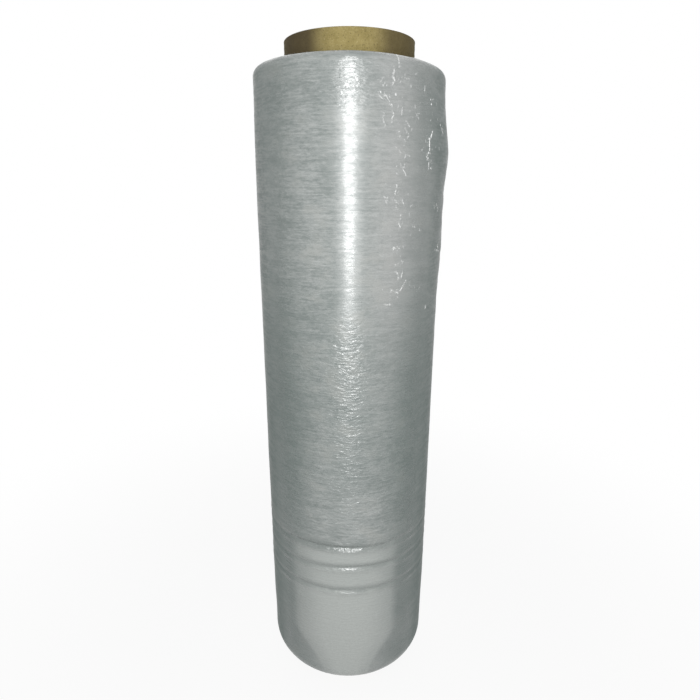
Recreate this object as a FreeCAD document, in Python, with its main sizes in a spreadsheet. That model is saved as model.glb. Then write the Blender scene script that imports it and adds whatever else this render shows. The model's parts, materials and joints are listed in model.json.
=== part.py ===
"""A hand roll of clear stretch film, wound on a long cardboard core and standing on one end of that core.

Frame: millimetres, +Z up along the roll's axis, origin at the centre of the core's lower rim.
The roll is seen from -Y, and the free end of the film lies on its +X side.
"""
import FreeCAD, Part
import Sketcher

import math
import os

Vector = FreeCAD.Vector

# Driving dimensions in millimetres and degrees: alias, value, what it measures.
SIZES = [
    ("core_bore", 76.2, "inside diameter of the cardboard core"),
    ("core_wall", 5.1, "wall of the core"),
    ("core_stub", 16.0, "length of core that stands out past the film at each end"),
    ("film_width", 457.2, "width of the film web"),
    ("film_build", 21.3, "radial thickness of the wound film"),
    ("crown", 0.6, "how much fuller the film is along its middle than at its shoulders"),
    ("crown_run", 60.0, "length of the film's taper towards each shoulder"),
    ("top_round", 7.0, "rounding of the film's top shoulder"),
    ("bottom_round", 14.0, "rounding of the film's bottom shoulder"),
    ("turn_pitch", 2.2, "spacing of the wound turns that show on the film's ends"),
    ("turn_groove", 0.5, "depth of the gap between two such turns"),
    ("turn_gap", 1.2, "width of that gap at the face"),
    ("turn_margin", 0.8, "clear width of the face at either side of the turns"),
    ("crease_low", 89.5, "height of the lowest crease above the film's bottom"),
    ("crease_middle", 111.0, "height of the middle crease"),
    ("crease_high", 129.0, "height of the highest crease"),
    ("crease_width", 6.0, "width of a crease"),
    ("crease_depth", 0.8, "depth of a crease"),
    ("slack_lift", 2.4, "how far the loose end of the film stands off the roll"),
    ("slack_shift", 4.5, "offset of the upright axis that the loose end bulges about"),
    ("slack_base", 302.0, "height above the film's bottom at which the loose end starts to bulge"),
    ("slack_rise", 72.0, "length over which the bulge swells"),
    ("slack_full", 38.0, "length of its fullest part"),
    ("slack_fall", 34.0, "length over which it draws in again"),
    ("slack_taper", 3.4, "how far the bulge draws in towards its upper and lower ends"),
    ("slack_root", 5.0, "depth from which the loose end rises out of the roll"),
    ("slack_edge", 55.0, "angle from +X to the web's free edge, on the side it is seen from"),
    ("slack_back", 80.0, "angle from +X to where the loose end lies flat again, at the back"),
]

# Places that several features share, as formulas on the sheet of sizes.
BORE_RADIUS = "(sizes.core_bore / 2)"
CORE_RADIUS = f"({BORE_RADIUS} + sizes.core_wall)"
CORE_LENGTH = "(sizes.film_width + 2 * sizes.core_stub)"
ROLL_RADIUS = f"({CORE_RADIUS} + sizes.film_build)"
EDGE_RADIUS = f"({ROLL_RADIUS} - sizes.crown)"
BARREL_TOP = "(sizes.film_width - sizes.top_round)"

CUT_REACH = 0.2  # how far a cutting outline reaches past the surface that it opens, in mm
SMALLEST_CUT = 1.0  # the least volume that a cut has to take away, in cubic mm

document = FreeCAD.newDocument("stretch_wrap_roll")
sheet = document.addObject("Spreadsheet::Sheet", "sizes")
for row, (alias, size, meaning) in enumerate(SIZES, start=1):
    sheet.set(f"A{row}", meaning)
    sheet.set(f"B{row}", str(size))
    sheet.setAlias(f"B{row}", alias)
document.recompute()


def value(formula):
    """The number that a formula on the sheet gives now."""
    found = sheet.evalExpression(formula)
    return float(getattr(found, "Value", found))


def new_body(name):
    """An empty body, labelled with the name of its file."""
    body = document.addObject("PartDesign::Body", name)
    body.Label = name
    return body


def upright_sketch(body, name):
    """A sketch in the upright plane through the roll's axis: its x runs out to +X and its y runs up."""
    plane = next(item for item in body.Origin.OriginFeatures if item.Role == "XZ_Plane")
    sketch = body.newObject("Sketcher::SketchObject", name)
    sketch.AttachmentSupport = [(plane, "")]
    sketch.MapMode = "FlatFace"
    return sketch


def bind(sketch, constraint, formula):
    """Adds a constraint with a size and ties the size to a formula."""
    number = sketch.addConstraint(constraint)
    sketch.setExpression(f"Constraints[{number}]", formula)


def place(sketch, geometry, point, x, y):
    """Ties one point of a line, arc or circle to the place that two formulas give."""
    if y == "0":
        sketch.addConstraint(Sketcher.Constraint("PointOnObject", geometry, point, -1))
    else:
        bind(sketch, Sketcher.Constraint("DistanceY", -1, 1, geometry, point, value(y)), y)
    bind(sketch, Sketcher.Constraint("DistanceX", -1, 1, geometry, point, value(x)), x)


def draw_outline(sketch, corners, arcs=None):
    """Draws a closed outline, anticlockwise, through corners that are pairs of formulas.

    arcs gives the formula of a radius for each side that bows outwards, by the number of the side."""
    arcs = arcs or {}
    points = [Vector(value(x), value(y), 0) for x, y in corners]
    sides = []
    for number, start in enumerate(points):
        end = points[(number + 1) % len(points)]
        if number not in arcs:
            sides.append(sketch.addGeometry(Part.LineSegment(start, end), False))
            continue
        radius = value(arcs[number])
        half = (end - start) * 0.5
        outward = Vector(half.y, -half.x, 0).normalize()
        centre = start + half - outward * math.sqrt(max(radius**2 - half.Length**2, 0.0))
        shape = Part.Arc(start, centre + outward * radius, end)
        sides.append(sketch.addGeometry(shape, False))
    for number, side in enumerate(sides):
        following = sides[(number + 1) % len(sides)]
        sketch.addConstraint(Sketcher.Constraint("Coincident", side, 2, following, 1))
        place(sketch, side, 1, *corners[number])
        if number in arcs:
            radius = Sketcher.Constraint("Radius", side, value(arcs[number]))
            bind(sketch, radius, arcs[number])


def revolve(body, name, sketch, kind="PartDesign::Revolution"):
    """Turns a sketch about its own upright axis, to add a solid or, as a groove, to cut one."""
    feature = body.newObject(kind, name)
    feature.Profile = sketch
    feature.ReferenceAxis = (sketch, ["V_Axis"])
    feature.Angle = 360
    return feature


def check_cut(feature, before):
    """Stops the build if a cut took nothing away."""
    document.recompute()
    if before - feature.Shape.Volume < SMALLEST_CUT:
        raise RuntimeError(f"{feature.Name} cuts nothing")


def build_core():
    """The cardboard tube, cut square at both rims."""
    body = new_body("core_tube")
    section = upright_sketch(body, "core_section")
    rims = [(BORE_RADIUS, "0"), (CORE_RADIUS, "0"), (CORE_RADIUS, CORE_LENGTH), (BORE_RADIUS, CORE_LENGTH)]
    draw_outline(section, rims)
    revolve(body, "core_wall_tube", section)
    document.recompute()
    return body


def build_film():
    """The wound film: a crowned barrel with soft shoulders, its loose end, its creases and its turns."""
    body = new_body("film_roll")
    body.setExpression("Placement.Base.z", "sizes.core_stub")
    section = upright_sketch(body, "film_section")
    draw_outline(
        section,
        [
            (CORE_RADIUS, "0"),
            (f"{EDGE_RADIUS} - sizes.bottom_round", "0"),
            (EDGE_RADIUS, "sizes.bottom_round"),
            (ROLL_RADIUS, "sizes.bottom_round + sizes.crown_run"),
            (ROLL_RADIUS, f"{BARREL_TOP} - sizes.crown_run"),
            (EDGE_RADIUS, BARREL_TOP),
            (f"{EDGE_RADIUS} - sizes.top_round", "sizes.film_width"),
            (CORE_RADIUS, "sizes.film_width"),
        ],
        {1: "sizes.bottom_round", 5: "sizes.top_round"},
    )
    revolve(body, "wound_barrel", section)
    document.recompute()
    add_loose_end(body)
    cut_creases(body)
    cut_turns(body, "top_turns", "sizes.film_width", "sizes.top_round", 1)
    cut_turns(body, "bottom_turns", "0", "sizes.bottom_round", -1)
    return body


def add_loose_end(body):
    """The slack last wrap: part of a fuller ring about an axis that lies towards +X, with a free edge."""
    outer = f"({ROLL_RADIUS} + sizes.slack_lift - sizes.slack_shift)"
    tip = f"({outer} - sizes.slack_taper)"
    root = f"({tip} - sizes.slack_root)"
    swollen = "(sizes.slack_base + sizes.slack_rise)"
    drawn_in = f"({swollen} + sizes.slack_full)"
    top = f"({drawn_in} + sizes.slack_fall)"
    sketch = upright_sketch(body, "loose_end_section")
    sketch.setExpression("AttachmentOffset.Base.x", "sizes.slack_shift")
    flank = [(tip, "sizes.slack_base"), (outer, swollen), (outer, drawn_in), (tip, top)]
    draw_outline(sketch, [(root, "sizes.slack_base"), *flank, (root, top)])
    ring = revolve(body, "loose_end", sketch)
    ring.Type = "TwoAngles"
    ring.setExpression("Angle", "sizes.slack_back")
    ring.setExpression("Angle2", "sizes.slack_edge")
    document.recompute()


def cut_creases(body):
    """Three shallow valleys round the lower part of the barrel."""
    before = body.Shape.Volume
    deep, clear = f"{ROLL_RADIUS} - sizes.crease_depth", f"{ROLL_RADIUS} + {CUT_REACH}"
    half = f"(sizes.crease_width / 2 * (1 + {CUT_REACH} / sizes.crease_depth))"
    sketch = upright_sketch(body, "crease_section")
    for height in ("sizes.crease_low", "sizes.crease_middle", "sizes.crease_high"):
        low, high = f"{height} - {half}", f"{height} + {half}"
        draw_outline(sketch, [(deep, height), (clear, low), (clear, high)])
    groove = revolve(body, "creases", sketch, "PartDesign::Groove")
    check_cut(groove, before)


def cut_turns(body, name, face, rounding, up):
    """A flat spiral gap between the turns of the web, cut into one end: the top if up is 1, or else -1."""
    middle = f"({CORE_RADIUS} + sizes.turn_margin + sizes.turn_gap / 2)"
    spread = f"(sizes.turn_gap / 2 * (1 + {CUT_REACH} / sizes.turn_groove))"
    deep, clear = f"{face} - {up} * sizes.turn_groove", f"{face} + {up} * {CUT_REACH}"
    sketch = upright_sketch(body, f"{name}_section")
    draw_outline(sketch, [(middle, deep), (f"{middle} + {spread}", clear), (f"{middle} - {spread}", clear)])
    flat = f"({EDGE_RADIUS} - {rounding} - {CORE_RADIUS} - 2 * sizes.turn_margin - sizes.turn_gap)"
    before = body.Shape.Volume
    spiral = body.newObject("PartDesign::SubtractiveHelix", name)
    spiral.Profile = sketch
    spiral.ReferenceAxis = (sketch, ["V_Axis"])
    spiral.Mode = "height-turns-growth"
    spiral.Height = 0
    spiral.setExpression("Turns", f"{flat} / sizes.turn_pitch")
    spiral.setExpression("Growth", "sizes.turn_pitch")
    check_cut(spiral, before)


def check_document():
    """Stops the build if an object failed."""
    document.recompute()
    for item in document.Objects:
        if {"Invalid", "Error"} & set(item.State):
            raise RuntimeError(f"{item.Name} failed: {item.State}")


def export(bodies):
    """Writes each body to its own file, after testing that it is one valid solid."""
    os.makedirs("parts", exist_ok=True)
    for body in bodies:
        shape = body.Shape
        if shape.isNull() or not shape.isValid() or len(shape.Solids) != 1:
            raise RuntimeError(f"{body.Label} is not one valid solid")
        shape.exportStep(f"parts/{body.Label}.step")
        box = shape.optimalBoundingBox(False)
        lengths = f"{box.XLength:.2f} x {box.YLength:.2f} x {box.ZLength:.2f} mm"
        print(body.Label, f"{shape.Volume / 1000:.1f} cm3", lengths)


core, film = build_core(), build_film()
check_document()
export([core, film])
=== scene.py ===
"""A hand roll of clear stretch film on its cardboard core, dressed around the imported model.

Metres, +Z up along the roll, origin at the centre of the core's lower rim. The photograph looks along +Y.
"""

import json
import math

import bpy
import numpy as np
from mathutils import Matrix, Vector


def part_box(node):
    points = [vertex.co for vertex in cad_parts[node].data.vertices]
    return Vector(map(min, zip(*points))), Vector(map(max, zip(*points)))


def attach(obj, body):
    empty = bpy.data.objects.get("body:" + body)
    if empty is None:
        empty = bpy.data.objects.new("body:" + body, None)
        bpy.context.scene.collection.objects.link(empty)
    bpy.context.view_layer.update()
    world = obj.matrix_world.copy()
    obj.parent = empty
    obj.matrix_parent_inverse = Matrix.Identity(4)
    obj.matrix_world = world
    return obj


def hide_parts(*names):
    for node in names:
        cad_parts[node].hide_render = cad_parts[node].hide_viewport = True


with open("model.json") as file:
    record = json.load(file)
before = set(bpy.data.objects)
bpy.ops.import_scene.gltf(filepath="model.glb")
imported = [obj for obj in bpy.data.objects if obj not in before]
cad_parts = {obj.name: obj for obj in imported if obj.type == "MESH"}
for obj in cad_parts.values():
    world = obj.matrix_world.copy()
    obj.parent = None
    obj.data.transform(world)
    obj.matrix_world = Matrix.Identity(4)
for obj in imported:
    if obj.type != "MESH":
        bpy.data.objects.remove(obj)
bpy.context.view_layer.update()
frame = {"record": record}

MM = 0.001
TINY = 1e-9
TURN = 2 * math.pi
QUARTER = TURN / 4
CAMERA_SIDE = math.radians(-90)

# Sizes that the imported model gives.
core_low, core_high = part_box("core_tube")
film_low, film_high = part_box("film_roll")
MOUNTS = {mount["name"]: mount for mount in frame["record"]["mounts"]}
BORE_RADIUS = MOUNTS["core_bore"]["dims"]["r_mm"] * MM
CORE_RADIUS = core_high.x
CORE_TOP = core_high.z
FILM_BASE = film_low.z
FILM_WIDTH = film_high.z - film_low.z
ROLL_RADIUS = -film_low.x
SLACK_LIFT = film_high.x - ROLL_RADIUS

# Forms of the film that the frame doesn't give. The creases' heights, the upper shoulder, its pull and the
# lower rim's sag follow the photograph more closely than the solid does.
CROWN = 0.6 * MM
CROWN_RUN = 60 * MM
FULLER = 0.3 * MM
FULLER_MIDDLE = 0.25 * MM
TOP_ROUND = 6 * MM
BOTTOM_ROUND = 14 * MM
SHOULDER_PULL = 2.4 * MM
RIM_SAG = 2.4 * MM
CREASES = (90.2 * MM, 110.4 * MM, 127.8 * MM)
CREASE_DEPTH = 0.8 * MM
CREASE_DROOP = 2 * MM
EDGE_RADIUS = ROLL_RADIUS + FULLER - CROWN
BOTTOM_FLAT = EDGE_RADIUS - BOTTOM_ROUND
TOP_FLAT = EDGE_RADIUS - TOP_ROUND
BARREL_TOP = FILM_WIDTH - TOP_ROUND

# The ply joint of the core: a helix that climbs one turn in its lead and starts at this angle in radians.
JOINT_START = 0.9
JOINT_LEAD = 165 * MM

# The camera that the photograph was taken with, fitted to the roll's outline. Its place is in metres, its
# angles are in degrees and its sensor in mm.
PHOTO_PIXELS = 700
FOCAL_PIXELS = 536.1
CAMERA_PLACE = (0.0, -0.3989, 0.4010)
CAMERA_PITCH = 17.24
CAMERA_ROLL = -0.14
ROLL_LEFT_OF_CENTRE = 0.9
SENSOR_WIDTH = 36.0


def ramp(low, high, x):
    """0 below low, 1 above high, and a smooth step between, 3 t^2 - 2 t^3."""
    t = np.clip((x - low) / (high - low), 0, 1)
    return t * t * (3 - 2 * t)


def bell(x):
    """1 at 0, falling to both sides as exp(-x^2)."""
    return np.exp(-(x**2))


def ripples(seed, count, rounds, waves, theta, height):
    """A smooth uneven field over the roll, about 1 high.

    It is a sum of products of two sines, one round the roll and one along it, times 2 over the root of how
    many there are. rounds and waves are the least and most periods, in one turn and along the web."""
    rng = np.random.default_rng(seed)
    total = np.zeros(np.broadcast(theta, height).shape)
    for _ in range(count):
        around = rng.integers(rounds[0], rounds[1] + 1)
        along = rng.uniform(*waves)
        first, second = rng.uniform(0, TURN, 2)
        total += np.sin(around * theta + first) * np.sin(TURN * along * height / FILM_WIDTH + second)
    return total / math.sqrt(count) * 2


def spaced(stops, steps):
    """Even steps between each pair of stops, with no stop twice."""
    pairs = zip(stops, stops[1:], steps)
    runs = [np.linspace(low, high, count, endpoint=False) for low, high, count in pairs]
    return np.concatenate([*runs, [stops[-1]]])


def polar(radius, theta, z):
    """Points at a radius, an angle and a height, as one array."""
    radius, theta, z = np.broadcast_arrays(radius, theta, z)
    return np.stack([radius * np.cos(theta), radius * np.sin(theta), z], axis=-1)


def grid_mesh(name, points, ring=True, hub=None):
    """A mesh over a grid of points, rows along the profile and columns round it, a quad for each cell.

    A ring joins the last row to the first and the last column to the first. Otherwise the sheet's border
    is closed with a fan of triangles to the hub, a point inside the roll."""
    rows, columns = points.shape[:2]
    index = np.arange(rows * columns).reshape(rows, columns)
    if ring:
        here, right = index, np.roll(index, -1, axis=1)
        up, across = np.roll(index, -1, axis=0), np.roll(right, -1, axis=0)
    else:
        here, right, up, across = index[:-1, :-1], index[:-1, 1:], index[1:, :-1], index[1:, 1:]
    faces = np.stack([here, right, across, up], axis=-1).reshape(-1, 4).tolist()
    vertices = points.reshape(-1, 3)
    if hub is not None:
        border = np.concatenate([index[0, :-1], index[:-1, -1], index[-1, :0:-1], index[:0:-1, 0]])
        middle = np.full(len(border), len(vertices))
        vertices = np.vstack([vertices, hub])
        faces += np.stack([np.roll(border, -1), border, middle], axis=-1).tolist()
    mesh = bpy.data.meshes.new(name)
    mesh.from_pydata(vertices.tolist(), [], faces)
    mesh.polygons.foreach_set("use_smooth", np.ones(len(mesh.polygons), bool))
    mesh.update()
    piece = bpy.data.objects.new(name, mesh)
    bpy.context.scene.collection.objects.link(piece)
    return piece


def crown_of(height):
    """The barrel's fall towards its shoulders: 0 along the middle, crown deep at both ends."""
    ends = np.minimum(height - BOTTOM_ROUND, BARREL_TOP - height)
    return -CROWN * (1 - ramp(0, CROWN_RUN, ends))


def crease_of(theta, height):
    """Three valleys round the roll, each a bell in section with a low lip above and below it.

    A valley's line sags with cos^2 towards the roll's sides and waves five times round it. Its depth swells
    three times round it and is less at the sides. The highest one is also pinched deeper right in front."""
    half_width, waver = 1.6 * MM, 0.4 * MM
    lip_height, lip_away, lip_spread = 0.18 * MM, 2.4, 1.5
    sideways = np.cos(theta) ** 2
    total = np.zeros(np.broadcast(theta, height).shape)
    for number, level in enumerate(CREASES):
        wander = -CREASE_DROOP * sideways + waver * np.sin(5 * theta + 2.6 * number)
        away = (height - level - wander) / half_width
        depth = CREASE_DEPTH * (0.85 + 0.25 * np.sin(3 * theta + 2.1 * number + 2.6)) * (1 - 0.6 * sideways)
        if level == CREASES[-1]:
            depth = depth * (1 + 0.7 * bell((np.sin(theta) + 1) / 0.012))
        lips = lip_height * np.exp(-((np.abs(away) - lip_away) ** 2) / lip_spread)
        total += lips - depth * bell(away)
    return total


def barrel_offset(theta, height):
    """How far the wound film stands off the plain cylinder.

    It is a little fuller all over and more so along its middle, falls to both shoulders, has the creases,
    and is uneven by 0.05 mm in broad swells and by 0.012 mm in fine rings."""
    swells = 0.05 * MM * ripples(11, 14, (2, 9), (1, 14), theta, height)
    rings = 0.012 * MM * ripples(12, 18, (0, 2), (20, 60), theta, height)
    middle = FULLER_MIDDLE * ramp(110 * MM, 170 * MM, height) * (1 - ramp(380 * MM, 440 * MM, height))
    return FULLER + middle + crown_of(height) + crease_of(theta, height) + swells + rings


def shoulder_drop(theta, height):
    """How far the upper shoulder is pulled down on the loose end's side.

    The pull is full towards +X, falls round the roll with cos^1.5 and fades out 45 mm down the barrel."""
    around = np.clip(np.cos(theta), 0, 1) ** 1.5
    return SHOULDER_PULL * around * ramp(FILM_WIDTH - 45 * MM, FILM_WIDTH - 3 * MM, height)


def turn_steps(theta, radius):
    """How far the gaps between turns lie below the film's end: bells along a spiral, some deeper."""
    pitch, deepest = 1.3 * MM, 0.35 * MM
    lap = (radius - CORE_RADIUS) / pitch - theta / TURN
    which = np.floor(lap)
    gap = bell((lap - which - 0.5) / 0.16)
    deeper = 0.6 + 0.4 * np.sin(which * 2.4 + 0.7) * np.sin(which * 0.9)
    return deepest * gap * deeper


def film_section():
    """The film's section, as radii and heights above its lower end.

    It runs along the lower end, the lower shoulder, the barrel, the upper shoulder and the upper end. The
    shoulders are quarter circles, and the rows lie closer together over the creases."""
    low_face = np.linspace(CORE_RADIUS, BOTTOM_FLAT, 22, endpoint=False)
    high_face = np.linspace(TOP_FLAT, CORE_RADIUS, 46)
    low_turn = np.linspace(0, QUARTER, 13, endpoint=False)
    high_turn = np.linspace(0, QUARTER, 9, endpoint=False)
    barrel = spaced([BOTTOM_ROUND, 78 * MM, 134 * MM, BARREL_TOP], [18, 96, 96])[:-1]
    radius = np.concatenate([
        low_face,
        BOTTOM_FLAT + BOTTOM_ROUND * np.sin(low_turn),
        np.full(len(barrel), ROLL_RADIUS),
        TOP_FLAT + TOP_ROUND * np.cos(high_turn),
        high_face,
    ])
    height = np.concatenate([
        np.zeros(len(low_face)),
        BOTTOM_ROUND * (1 - np.cos(low_turn)),
        barrel,
        FILM_WIDTH - TOP_ROUND * (1 - np.sin(high_turn)),
        np.full(len(high_face), FILM_WIDTH),
    ])
    return radius[:, None], height[:, None]


def build_film():
    """The wound film as one closed ring: its section turned about the roll's axis, then shaped.

    The barrel has its offset, the two ends have the gaps between the turns, the lower rim sags and the
    upper shoulder is pulled down. The last row joins the first along the core."""
    theta = np.linspace(0, TURN, 300, endpoint=False)[None, :]
    radius, height = film_section()
    on_barrel = (height > BOTTOM_ROUND - TINY) & (height < BARREL_TOP - TINY)
    offset = np.where(on_barrel, barrel_offset(theta, height), 0)
    gaps = turn_steps(theta, radius) * ramp(CORE_RADIUS, CORE_RADIUS + 0.6 * MM, radius)
    low_gaps = np.where(height < TINY, gaps, 0)
    high_gaps = np.where(height > FILM_WIDTH - TINY, gaps, 0)
    sag = RIM_SAG * (1 - ramp(0, 3 * BOTTOM_ROUND, height)) * ramp(CORE_RADIUS, BOTTOM_FLAT, radius)
    drop = shoulder_drop(theta, height) * ramp(CORE_RADIUS + 1 * MM, TOP_FLAT, radius)
    z = FILM_BASE + height - sag - drop + low_gaps - high_gaps
    film = grid_mesh("wound_film", polar(radius + offset, theta, z))
    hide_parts("film_roll")
    return film


# Bright wrinkles of the loose end, set down from the photograph to half a degree and half a mm: the angle
# round from the side that the camera sees and the height in mm of one end, the same of the other end, and
# how strong the wrinkle is, in its rise and in its painted glint.
WRINKLES = [
    (21.5, 448, 24, 443, 0.4), (23.5, 444, 23.5, 443.5, 0.8), (24, 442.5, 24.5, 442, 0.9),
    (26, 435, 26, 434.5, 1.0), (14, 428, 19.5, 416.5, 0.35), (15.5, 425, 16, 424, 0.9),
    (20.5, 435.5, 21, 429, 0.35), (21, 429, 22.5, 419.5, 0.45), (18.5, 435.5, 18.5, 435, 0.5),
    (21, 429.5, 21, 429, 0.7), (17, 434, 18, 431.5, 0.4), (30, 445, 30, 444.5, 0.35),
    (32.5, 444.5, 33, 444.5, 0.4), (44.5, 442, 44.5, 438, 0.4), (37, 430, 37.5, 428, 0.5),
    (39, 425.5, 39, 425, 0.9), (34.5, 423.5, 35, 423, 0.5), (50, 435, 50, 434.5, 1.0),
    (50.5, 432.5, 50.5, 432, 1.0), (31, 420.5, 33.5, 417.5, 0.35), (30.5, 416.5, 33, 413.5, 0.3),
    (62.5, 419, 62.5, 418.5, 1.0), (60, 421, 60.5, 420.5, 0.7), (62.5, 417.5, 64, 416, 0.5),
    (51, 416, 49, 412, 0.8), (48, 412, 48, 407, 0.95), (48, 406, 48, 405, 1.0),
    (47.5, 403.5, 46, 401.5, 0.95), (47, 400.5, 48, 399, 0.95), (48, 398, 48.5, 393, 0.45),
    (50, 394.5, 51, 394, 0.7), (30.5, 410, 31, 409, 0.5), (25.5, 406, 29, 402.5, 0.25),
    (30, 403, 34, 401, 0.35), (28, 396.5, 30, 394, 0.4), (30, 393.5, 31, 390, 0.5),
    (25, 384.5, 26.5, 379, 0.65), (20, 377.5, 21, 377, 0.35), (26.5, 375.5, 28.5, 373, 0.4),
    (30.5, 376, 32, 372, 0.35), (35, 370.5, 37, 372.5, 0.35), (60, 372.5, 63, 368.5, 0.5),
    (27, 364, 28.5, 367.5, 0.45), (27, 361.5, 28.5, 359, 0.65), (28.5, 359, 29.5, 361.5, 0.6),
    (37.5, 360, 38, 359, 0.5), (43, 357, 43.5, 356, 0.45), (26, 347, 26.5, 346, 0.75),
    (28.5, 347, 29, 345.5, 0.35), (65.5, 345.5, 66.5, 343, 1.0), (64, 342, 70.5, 340, 0.6),
    (26, 336, 27.5, 335.5, 0.4), (31, 337.5, 31, 336.5, 0.4), (28, 332, 30, 327.5, 0.55),
    (32, 331.5, 31.5, 327.5, 0.55), (34.5, 325.5, 31, 319, 0.7), (25.5, 320, 30, 317.5, 0.5),
    (43.5, 317, 46, 319.5, 0.3), (53.5, 305.5, 53.5, 303.5, 1.0), (20.5, 311, 24.5, 310, 0.3),
]

# The relief of a wrinkle of full strength in mm, and how far its relief and its glint spread, in square mm.
WRINKLE_RISE = 0.16
RISE_SPREAD = 0.7
GLINT_SPREAD = 0.20

# The loose end's sheet: the angles of its free edge and its root in degrees round from the camera's side,
# the height of its lower end, and how far it lies off the film, or under it where it fades out.
FREE_EDGE = 13
SHEET_ROOT = 156
SHEET_LOW = 236 * MM
SHEET_GAP = 0.08 * MM


def small_wrinkles():
    """Many short faint wrinkles: 170 scattered round the marked ones and 120 at the back of the sheet."""
    rng = np.random.default_rng(5)
    strokes = []
    for _ in range(170):
        angle, level = WRINKLES[rng.integers(len(WRINKLES))][:2]
        angle, level = angle + rng.normal(0, 3.0), level + rng.normal(0, 5)
        end = (angle + rng.normal(0, 0.6), level + rng.normal(0, 1.2))
        strokes.append((angle, level, *end, rng.uniform(0.1, 0.4)))
    for _ in range(120):
        angle, level = rng.uniform(95, 140), rng.uniform(300, 440)
        end = (angle + rng.normal(0, 1.2), level + rng.normal(0, 4))
        strokes.append((angle, level, *end, rng.uniform(0.1, 0.6)))
    return strokes


def draw_wrinkles(theta, height):
    """Two fields over the sheet: the rise of its wrinkles, and how strongly each spot gets a painted glint.

    Each wrinkle is a bell across the straight line between its ends, exp(-distance^2 / spread). The rises
    add up, and where glints overlap the strongest one counts."""
    shape = np.broadcast(theta, height).shape
    rise, glint = np.zeros(shape), np.zeros(shape)
    around = np.degrees(theta - CAMERA_SIDE)
    mm_per_degree = math.radians(ROLL_RADIUS / MM)
    for angle, level, end_angle, end_level, strength in WRINKLES + small_wrinkles():
        across, up = (around - angle) * mm_per_degree, height / MM - level
        run, climb = (end_angle - angle) * mm_per_degree, end_level - level
        squared_length = max(run**2 + climb**2, 0.01)
        share = np.clip((across * run + up * climb) / squared_length, 0, 1)
        squared = (across - share * run) ** 2 + (up - share * climb) ** 2
        rise += WRINKLE_RISE * strength * np.exp(-squared / RISE_SPREAD)
        glint = np.maximum(glint, strength**0.6 * np.exp(-squared / GLINT_SPREAD))
    return rise * MM, glint


def bulge(theta, height):
    """The loose end's stand-off: a long low swelling and a short full knob, falling with cos^3 from +X."""
    swelling = 0.55 * ramp(298 * MM, 348 * MM, height) * (1 - ramp(418 * MM, 446 * MM, height))
    knob = 0.80 * bell((height - 404 * MM) / (14 * MM))
    around = np.clip(np.cos(theta + math.radians(6)), 0, 1)
    return (SLACK_LIFT + 0.2 * MM) * (swelling + knob) * around**3


def build_loose_end():
    """The last wrap of the web: a sheet that stands off the roll's right side, closed inside the roll.

    Columns run from the free edge, which wanders up its length, to the root. Rows climb the barrel and then
    go over the upper shoulder by the angle turn. The stand-off fades out at the sheet's lower end, over the
    shoulder, at the root and at the free edge."""
    angle = np.radians(spaced([FREE_EDGE, 85, SHEET_ROOT], [232, 66]))[None, :] + CAMERA_SIDE
    past_edge = angle - angle[0, 0]
    climb = spaced([SHEET_LOW, 296 * MM, BARREL_TOP], [38, 268])
    over = np.radians(np.linspace(8, 84, 10))
    height = np.append(climb, np.full(len(over), BARREL_TOP))[:, None]
    turn = np.append(np.zeros(len(climb)), over)[:, None]

    edge_wander = 0.02 * ripples(21, 8, (0, 0), (3, 22), np.zeros_like(height), height)
    edge_wander += 0.006 * ripples(24, 10, (0, 0), (40, 110), np.zeros_like(height), height)
    theta = angle + edge_wander * (1 - ramp(0, 0.5, past_edge))
    rise, glint = draw_wrinkles(angle, height)
    waves = 0.10 * MM * ripples(23, 16, (4, 22), (6, 40), theta, height) * ramp(0.1, 0.5, past_edge)

    fade = ramp(SHEET_LOW, SHEET_LOW + 70 * MM, height) * (1 - ramp(1.1, 1.45, turn))
    fade = fade * (1 - ramp(SHEET_ROOT - 26, SHEET_ROOT, np.degrees(angle - CAMERA_SIDE)))
    fade = fade * ramp(0, 7 * MM, past_edge * ROLL_RADIUS)
    lift = (SHEET_GAP + bulge(theta, height) + rise + waves) * fade - SHEET_GAP * (1 - fade)
    offset = barrel_offset(theta, height) - TOP_ROUND * (1 - np.cos(turn))
    climb_over = TOP_ROUND * np.sin(turn)
    z = FILM_BASE + height + climb_over - shoulder_drop(theta, height + climb_over) + lift * np.sin(turn)
    points = polar(ROLL_RADIUS + offset + lift * np.cos(turn), theta, z)

    middle = points.mean(axis=(0, 1)) * [0.6, 0.6, 1]
    sheet = grid_mesh("loose_end", points, ring=False, hub=middle)
    glints = sheet.data.attributes.new("glint", "FLOAT", "POINT")
    glints.data.foreach_set("value", np.append((glint * np.sqrt(fade)).ravel(), 0.0))
    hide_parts("film_roll")
    return sheet


def core_section(soft):
    """The tube's section, as radii and heights: outside, upper rim, bore and lower rim.

    The four edges are quarter circles of radius soft."""
    turn = np.linspace(0, QUARTER, 5)
    wall = np.linspace(soft, CORE_TOP - soft, 131)
    face = np.linspace(CORE_RADIUS - soft, BORE_RADIUS + soft, 34)[1:-1]
    leaving_wall, reaching_wall = soft * (1 - np.cos(turn[1:])), soft * (1 - np.sin(turn[:-1]))
    reaching_rim, leaving_rim = soft * (1 - np.sin(turn[1:])), soft * (1 - np.cos(turn[:-1]))
    outside, bore = np.full(len(wall), CORE_RADIUS), np.full(len(wall), BORE_RADIUS)
    radius = np.concatenate([
        outside, CORE_RADIUS - leaving_wall, face, BORE_RADIUS + reaching_wall,
        bore, BORE_RADIUS + leaving_wall, face[::-1], CORE_RADIUS - reaching_wall,
    ])
    z = np.concatenate([
        wall, CORE_TOP - reaching_rim, np.full(len(face), CORE_TOP), CORE_TOP - leaving_rim,
        wall[::-1], reaching_rim, np.zeros(len(face)), leaving_rim,
    ])
    return radius[:, None], z[:, None]


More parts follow.
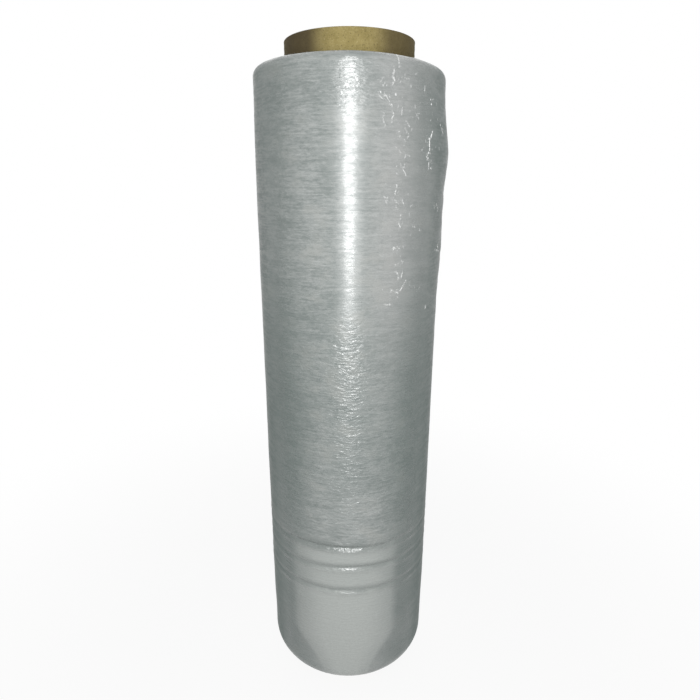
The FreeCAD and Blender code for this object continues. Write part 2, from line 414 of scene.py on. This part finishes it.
def ply_relief(theta, radius):
    """How far the cut plies lie below the rim: a gap between plies on a slow spiral, and a ragged cut."""
    ply = 0.55 * MM
    lap = (radius - BORE_RADIUS) / ply - theta / TURN
    which = np.floor(lap)
    gap = bell((lap - which - 0.5) / 0.2)
    ragged = 0.5 + 0.5 * np.sin(37 * theta + 9 * which) * np.sin(53 * theta)
    return 0.10 * MM * gap + 0.05 * MM * ragged


def build_core():
    """The cardboard tube as one closed ring, open at both rims.

    Its columns follow the ply joint's helix and lie closer together beside it. The joint is a bell across
    them, sunk 0.3 mm into the bore and 0.15 mm into the outside."""
    columns = spaced([0, 0.05, TURN - 0.05, TURN], [9, 190, 9])[:-1][None, :]
    radius, z = core_section(0.45 * MM)
    theta = columns + TURN * z / JOINT_LEAD + JOINT_START
    joint = bell(np.minimum(columns, TURN - columns) / 0.014)
    on_bore = bell((radius - BORE_RADIUS) / (0.4 * MM))
    on_outside = bell((radius - CORE_RADIUS) / (0.4 * MM))
    on_rim = (z > CORE_TOP - TINY) | (z < TINY)
    inward = np.where(z > CORE_TOP / 2, -1, 1)
    plies = inward * on_rim * ply_relief(theta, radius)
    radius = radius + 0.3 * MM * joint * on_bore - 0.15 * MM * joint * on_outside
    core = grid_mesh("cardboard_core", polar(radius, theta, z + plies))
    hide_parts("core_tube")
    return core


class Flow:
    """A socket of a material's nodes that works in sums, products and powers as a number does."""

    def __init__(self, recipe, socket):
        self.recipe = recipe
        self.socket = socket

    def _math(self, operation, *values):
        return self.recipe.node("ShaderNodeMath", {"operation": operation}, dict(enumerate(values)))[0]

    def __add__(self, other):
        return self._math("ADD", self, other)

    def __sub__(self, other):
        return self._math("SUBTRACT", self, other)

    def __rsub__(self, other):
        return self._math("SUBTRACT", other, self)

    def __mul__(self, other):
        return self._math("MULTIPLY", self, other)

    def __pow__(self, other):
        return self._math("POWER", self, other)

    def __rpow__(self, other):
        return self._math("POWER", other, self)

    __radd__ = __add__
    __rmul__ = __mul__


class Recipe:
    """A node material: its nodes are made by one method, and its Flows carry the values between them."""

    def __init__(self, name, owner=None):
        self.owner = owner or bpy.data.materials.new(name)
        self.owner.use_nodes = True
        self.tree = self.owner.node_tree
        self.tree.nodes.clear()

    def node(self, kind, settings=None, inputs=None):
        """Makes a node: its settings first, then its sockets' values or Flows. Returns its outputs."""
        made = self.tree.nodes.new(kind)
        for key, setting in (settings or {}).items():
            setattr(made, key, setting)
        for key, value in (inputs or {}).items():
            if isinstance(value, Flow):
                self.tree.links.new(value.socket, made.inputs[key])
            else:
                made.inputs[key].default_value = value
        return [Flow(self, socket) for socket in made.outputs if socket.enabled]

    def coordinates(self):
        """The piece's own coordinates, in metres."""
        return self.node("ShaderNodeTexCoord")[3]

    def axes(self):
        """The piece's own coordinates as three values, x, y and z."""
        return self.node("ShaderNodeSeparateXYZ", None, {"Vector": self.coordinates()})

    def noise(self, stretch, move=(0, 0, 0), scale=1.0, detail=2.0, roughness=0.5):
        """Smooth noise about 0.5 over the piece's own coordinates, stretched along each axis and moved."""
        places = {"Vector": self.coordinates(), "Scale": stretch, "Location": move}
        vector = self.node("ShaderNodeMapping", None, places)[0]
        values = {"Vector": vector, "Scale": scale, "Detail": detail, "Roughness": roughness}
        return self.node("ShaderNodeTexNoise", None, values)[0]

    def size(self, value):
        """The value without its sign."""
        return self.node("ShaderNodeMath", {"operation": "ABSOLUTE"}, {0: value})[0]

    def spread(self, value, low, high, to_low=0.0, to_high=1.0):
        """The value carried from one range to another, smoothly and clamped."""
        settings = {"interpolation_type": "SMOOTHSTEP"}
        ends = {"Value": value, "From Min": low, "From Max": high, "To Min": to_low, "To Max": to_high}
        return self.node("ShaderNodeMapRange", settings, ends)[0]

    def blend(self, factor, first, second):
        """One colour laid over another by a factor."""
        inputs = {0: factor, 6: (*first, 1.0) if isinstance(first, tuple) else first}
        inputs[7] = (*second, 1.0) if isinstance(second, tuple) else second
        return self.node("ShaderNodeMix", {"data_type": "RGBA"}, inputs)[0]

    def bump(self, height):
        """The surface's normal, bent by a relief whose height is in metres."""
        return self.node("ShaderNodeBump", None, {"Strength": 1.0, "Distance": 1.0, "Height": height})[0]

    def finish(self, shader):
        """Ends the material in its surface."""
        self.node("ShaderNodeOutputMaterial", None, {"Surface": shader})
        return self.owner


FILM_PALE = (0.400, 0.422, 0.411)
FILM_DEEP = (0.204, 0.231, 0.222)
FILM_WARM = (0.355, 0.362, 0.335)
FILM_LOOSE = (0.466, 0.466, 0.461)
FILM_PAINTED_SHADE = (0.063, 0.102, 0.090)
FILM_PAINTED_GLINT = (0.93, 0.94, 0.93)
FILM_PANEL_TONE_AND_REFLECTION = (0.445, 0.472, 0.452)
FILM_CREASE_SHADE = (0.20, 0.225, 0.215)
BOARD_DEEP = (0.305, 0.246, 0.092)
BOARD_PALE = (0.385, 0.313, 0.128)
BOARD_PALE_FLECK = (0.52, 0.45, 0.24)
BOARD_DARK_FLECK = (0.10, 0.075, 0.040)
BOARD_SHADE = (0.062, 0.046, 0.027)

# Places in the materials, such as the ends of a spread over x, y or height, are in metres.
SPARKLE_BELOW = 2.4 * MM
SHADE_ABOVE = 0.8 * MM
RAGGED_BY = 5 * MM


def film_material(name, loose):
    """Glossy, milky grey-green film: fine streaks run round the roll and break up its shine.

    loose is for the last wrap, whose marked wrinkles get a painted glint. Both sides turn rougher in front,
    so that their outlines don't mirror the pale room."""
    film = Recipe(name)
    x, y, height = film.axes()
    away = film.size(x)
    wound = film.spread(height, 0.136, 0.147)
    front = film.spread(y, 0.022, -0.028)
    streak, clouds = film_patterns(film)

    colour = film_tone(film, streak, clouds, wound)
    colour = tint_last_wrap_and_paint_shade(film, colour, x, y, height)
    colour = paint_flank_shade(film, colour, away, height, front)
    colour = film.blend(panel_tone_and_painted_reflection(film, x, y, height) * (1 - wound), colour, FILM_PANEL_TONE_AND_REFLECTION)
    colour = film.blend(crease_shade(film, x, height), colour, FILM_CREASE_SHADE)
    colour = film.blend(fold_shade(film, x, height) * front * 0.45, colour, FILM_CREASE_SHADE)
    roughness = film.spread(streak, 0.40, 0.60, 0.34, 0.20) + film.spread(away, 0.046, 0.060) * front * 0.30
    values = {"Roughness": roughness, "IOR": 1.5, "Specular IOR Level": 0.8}
    values.update({"Anisotropic": 0.6, "Anisotropic Rotation": 0.25})
    values["Normal"] = film.bump(film_relief(film, x, away, height, streak, wound))
    if loose:
        glint = wrinkle_glint(film)
        # Painted glint: the marked wrinkles turn near white and metallic.
        colour = film.blend(glint, colour, FILM_PAINTED_GLINT)
        values["Metallic"] = glint
    values["Base Color"] = colour
    return film.finish(film.node("ShaderNodeBsdfPrincipled", None, values)[0])


def film_patterns(film):
    """Two patterns about 0.5: streaks round the roll, with grain and broader bands, and soft clouds."""
    fine = film.noise((90, 90, 1000), detail=3.0, roughness=0.6)
    broad = film.noise((30, 30, 260), (3, 1, 7))
    grain = film.noise((300, 300, 700), (7, 3, 5), detail=3.0, roughness=0.65)
    clouds = film.noise((40, 40, 55), (5, 2, 0), detail=3.0, roughness=0.6)
    return fine * 0.4 + grain * 0.4 + broad * 0.2, clouds


def film_tone(film, streak, clouds, wound):
    """The film's own grey green, deeper and paler in streaks and clouds, and warmer in the palest clouds.

    The smooth film at the bottom, where wound is 0, has fainter streaks."""
    tone = (streak - 0.5) * (0.3 + 0.7 * wound) + (clouds - 0.5) * 0.3
    colour = film.blend(film.spread(tone, -0.165, 0.165), FILM_DEEP, FILM_PALE)
    return film.blend(film.spread(clouds, 0.52, 0.72) * 0.35, colour, FILM_WARM)


def tint_last_wrap_and_paint_shade(film, colour, x, y, height):
    """The last wrap's paler right half, with painted shade along the bulge at its right outline."""
    last_wrap = film.spread(x, 0.002, 0.030) * film.spread(height, 0.20, 0.34)
    colour = film.blend(last_wrap * 0.45, colour, FILM_LOOSE)
    # Painted shade along the bulge beside the right outline.
    slack_shade = film.spread(x, 0.050, 0.058) * film.spread(height, 0.31, 0.36) * film.spread(y, 0.02, -0.01)
    return film.blend(slack_shade * 0.35, colour, FILM_PAINTED_SHADE)


def paint_flank_shade(film, colour, away, height, front):
    """Painted shade in a darker green: on the front towards both sides, and over the waist all over.

    Towards the sides it is strongest and widest low down, and a little stronger again at the top."""
    narrower = film.spread(height, 0.40, 0.24, 2.0, 1.0)
    # Painted shade towards both sides of the front, stronger and wider low down.
    flank = film.spread(away, 0.015, 0.058) ** narrower * front
    amount = film.spread(height, 0.40, 0.24, 0.50, 0.84) + film.spread(height, 0.39, 0.44) * 0.20
    colour = film.blend(flank * amount, colour, FILM_PAINTED_SHADE)
    # Painted shade over the waist.
    waist_shade = film.spread(height, 0.37, 0.28) * film.spread(height, 0.165, 0.215)
    return film.blend(waist_shade * 0.18, colour, FILM_PAINTED_SHADE)


def panel_tone_and_painted_reflection(film, x, y, height):
    """The paler upright panel on the front of the smooth film at the bottom: partly the smoother film's own
    paler tone and partly a painted reflection. It narrows over the lower shoulder."""
    # A paler panel: the smooth film's own tone with a painted reflection on the front.
    across = x * film.spread(height, 0.012, 0.062, 2.4, 1.0)
    left = film.spread(across, -0.046, -0.037) * (0.55 + 0.45 * film.spread(across, -0.040, -0.016))
    right = film.spread(across, 0.040, 0.031) * (0.60 + 0.40 * film.spread(across, 0.035, 0.010))
    return left * right * film.spread(y, 0.0, -0.01) * film.spread(height, 0.120, 0.080, 0.8, 1.0)


def near_creases(film, x, height, close, far):
    """1 within close mm of a crease's line and 0 beyond far mm. The lines sag towards the roll's sides."""
    droop = x * x * (CREASE_DROOP / ROLL_RADIUS**2)
    total = 0.0
    for level in CREASES:
        away = film.size(height + droop - (FILM_BASE + level)) * (1 / MM)
        total = total + film.spread(away, close, far, 1.0, 0.0)
    return total


def crease_shade(film, x, height):
    """Painted shade: a dark line in each crease, ragged and unevenly dark, which fades towards the roll's
    sides.
    """
    flank = film.spread(film.size(x), 0.036, 0.054, 1.0, 0.35)
    patchiness = film.noise((70, 70, 240), (4, 4, 1), detail=3.0, roughness=0.6)
    ragged = height + (patchiness - 0.5) * RAGGED_BY
    # Painted shade along the line of each crease.
    line = near_creases(film, x, ragged - SHADE_ABOVE, 0.3, 5.6)
    return line * flank * film.spread(patchiness, 0.2, 0.6, 0.44, 0.72)


def fold_shade(film, x, height):
    """Painted shade: a thin dark band right above the highest crease, at the left and half as strong at the
    right.
    """
    # Painted shade just above the highest crease.
    band = film.spread(height, 0.1435, 0.1455) * film.spread(height, 0.1540, 0.1475)
    return band * (film.spread(x, -0.004, -0.020) + film.spread(x, 0.020, 0.036) * 0.5)


def film_relief(film, x, away, height, streak, wound):
    """The relief in metres: the streaks, and short dashes where the film is crumpled.

    It is crumpled a little all over, more near the top and on the wound film's lower half, less so towards
    the sides, and most just below the line of each crease."""
    crumpled = film.spread(height, 0.435, 0.452) * 0.4 + film.spread(height, 0.335, 0.285) * wound
    crumpled = 0.035 + crumpled * film.spread(away, 0.040, 0.058, 1.0, 0.15)
    crumpled = crumpled + near_creases(film, x, height + SPARKLE_BELOW, 0.5, 3.4) * 0.9
    dashes = film.noise((235, 235, 560), (1, 8, 3), roughness=0.55) * (0.72 * MM)
    return streak * (0.022 * MM) * (0.3 + 0.7 * wound) + dashes * crumpled


def wrinkle_glint(film):
    """How strongly the marked wrinkles' painted glint shows, broken up into dots."""
    dots = film.noise((900, 900, 900), (2, 4, 6), detail=1.0)
    marked = film.node("ShaderNodeAttribute", {"attribute_name": "glint"})[2]
    return film.spread(marked * film.spread(dots, 0.40, 0.56, 0.28, 1.0), 0.05, 0.74)


def board_material():
    """Matt kraft board, olive brown, with a fine dark and pale fleck and a slight mottle.

    Painted shade leaves it brightest across the front and darkens both sides, most at the left, and the
    back less so."""
    board = Recipe("kraft_board")
    fleck = board.noise((1, 1, 1), scale=1200.0, detail=3.0, roughness=0.65)
    mottle = board.noise((1, 1, 1), scale=170.0, detail=3.0, roughness=0.6)
    colour = board.blend(board.spread(mottle, 0.3, 0.7), BOARD_DEEP, BOARD_PALE)
    colour = board.blend(board.spread(fleck, 0.56, 0.72) * 0.6, colour, BOARD_PALE_FLECK)
    colour = board.blend(board.spread(fleck, 0.44, 0.30) * 0.7, colour, BOARD_DARK_FLECK)
    x, y, _ = board.axes()
    # Painted shade at the tube's sides, less at the back.
    shade = board.spread(y, -0.0432, -0.0345) * board.spread(y, -0.020, 0.0, 0.76, 0.35)
    shade = shade * board.spread(x, -0.030, 0.010, 1.15, 0.90)
    colour = board.blend(shade, colour, BOARD_SHADE)
    relief = fleck * (0.10 * MM) + mottle * (0.15 * MM)
    values = {"Base Color": colour, "Roughness": 0.8, "Specular IOR Level": 0.2}
    values["Normal"] = board.bump(relief)
    return board.finish(board.node("ShaderNodeBsdfPrincipled", None, values)[0])


def seen_directly(recipe):
    """1 for what the camera, a reflection or a pane sees, and 0 for light that falls on a surface."""
    rays = {flow.socket.name: flow for flow in recipe.node("ShaderNodeLightPath")}
    total = rays["Is Camera Ray"] + rays["Is Glossy Ray"] + rays["Is Transmission Ray"]
    return recipe.node("ShaderNodeMath", {"operation": "MINIMUM"}, {0: total, 1: 1.0})[0]


def build_floor():
    """A pale floor that keeps the roll's shadow and turns white away from it.

    What the camera and the reflections see of it is pale. The roll is lit by it as by a mid grey one."""
    reach = 4.0
    mesh = bpy.data.meshes.new("floor")
    corners = [(-reach, -reach, 0), (reach, -reach, 0), (reach, reach, 0), (-reach, reach, 0)]
    mesh.from_pydata(corners, [], [(0, 1, 2, 3)])
    floor = bpy.data.objects.new("floor", mesh)
    bpy.context.scene.collection.objects.link(floor)
    paint = Recipe("pale_floor")
    direct = seen_directly(paint)
    away = paint.node("ShaderNodeVectorMath", {"operation": "LENGTH"}, {0: paint.coordinates()})[0]
    grey = paint.blend(direct, (0.35, 0.35, 0.35), (0.95, 0.95, 0.95))
    matt = paint.node("ShaderNodeBsdfDiffuse", None, {"Color": grey})[0]
    white = paint.node("ShaderNodeEmission", None, {"Color": (1, 1, 1, 1), "Strength": 1.0})[0]
    share = paint.spread(away, 0.10, 0.60, 0.90, 1.0) * direct
    mixed = paint.node("ShaderNodeMixShader", None, {0: share, 1: matt, 2: white})[0]
    mesh.materials.append(paint.finish(mixed))


def build_world():
    """A room that looks white, also in reflections, and sheds only a faint light."""
    world = bpy.data.worlds.new("white_room")
    bpy.context.scene.world = world
    sky = Recipe("white_room", world)
    level = sky.spread(seen_directly(sky), 0, 1, 0.10, 1.0)
    background = sky.node("ShaderNodeBackground", None, {"Color": (1, 1, 1, 1), "Strength": level})[0]
    sky.node("ShaderNodeOutputWorld", None, {"Surface": background})


# Each light's name, place, width and height in metres, and power in watts. In front are a narrow upright
# strip and its softer halo for the long highlight, and a small light for the upper shoulder. Behind are
# three tall dim panels that keep the outline soft.
LIGHTS = [
    ("upright_strip", (0.006, -0.62, 0.41), (0.12, 0.42), 2.05),
    ("strip_halo", (0.012, -0.64, 0.41), (0.34, 0.44), 1.2),
    ("shoulder_light", (0.004, -0.54, 0.87), (0.12, 0.14), 0.74),
    ("back_left", (-0.95, 0.75, 0.95), (1.9, 2.3), 3.0),
    ("back_right", (0.95, 0.75, 0.95), (1.9, 2.3), 3.0),
    ("back_middle", (0.0, 1.35, 0.95), (1.6, 2.3), 3.4),
]


def add_light(name, place, size, power):
    """A soft rectangular light that faces the middle of the roll and stays out of the camera's sight."""
    lamp = bpy.data.lights.new(name, "AREA")
    lamp.shape = "RECTANGLE"
    lamp.size, lamp.size_y = size
    lamp.energy = power
    holder = bpy.data.objects.new(name, lamp)
    holder.location = place
    aim = np.array([0, 0, CORE_TOP / 2]) - np.array(place)
    azimuth = math.atan2(aim[1], aim[0])
    fall = math.atan2(aim[2], math.hypot(aim[0], aim[1]))
    holder.rotation_euler = (math.pi / 2 + fall, 0, azimuth - math.pi / 2)
    holder.visible_camera = False
    bpy.context.scene.collection.objects.link(holder)


def place_camera():
    """The photograph's own viewpoint, lens and framing."""
    lens = bpy.data.cameras.new("photo_camera")
    lens.sensor_width = SENSOR_WIDTH
    lens.lens = SENSOR_WIDTH * FOCAL_PIXELS / PHOTO_PIXELS
    lens.shift_x = ROLL_LEFT_OF_CENTRE / PHOTO_PIXELS
    lens.clip_start = 0.01
    camera = bpy.data.objects.new("photo_camera", lens)
    camera.location = CAMERA_PLACE
    camera.rotation_euler = (math.radians(90 - CAMERA_PITCH), math.radians(CAMERA_ROLL), 0)
    bpy.context.scene.collection.objects.link(camera)
    bpy.context.scene.camera = camera


film = build_film()
film.data.materials.append(film_material("wound_film", loose=False))
sheet = build_loose_end()
sheet.data.materials.append(film_material("loose_film", loose=True))
core = build_core()
core.data.materials.append(board_material())
for piece, slot in ((film, "film"), (sheet, "film"), (core, "core")):
    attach(piece, "root")
build_floor()
build_world()
for light in LIGHTS:
    add_light(*light)
place_camera()
bpy.context.scene.view_settings.view_transform = "Standard"
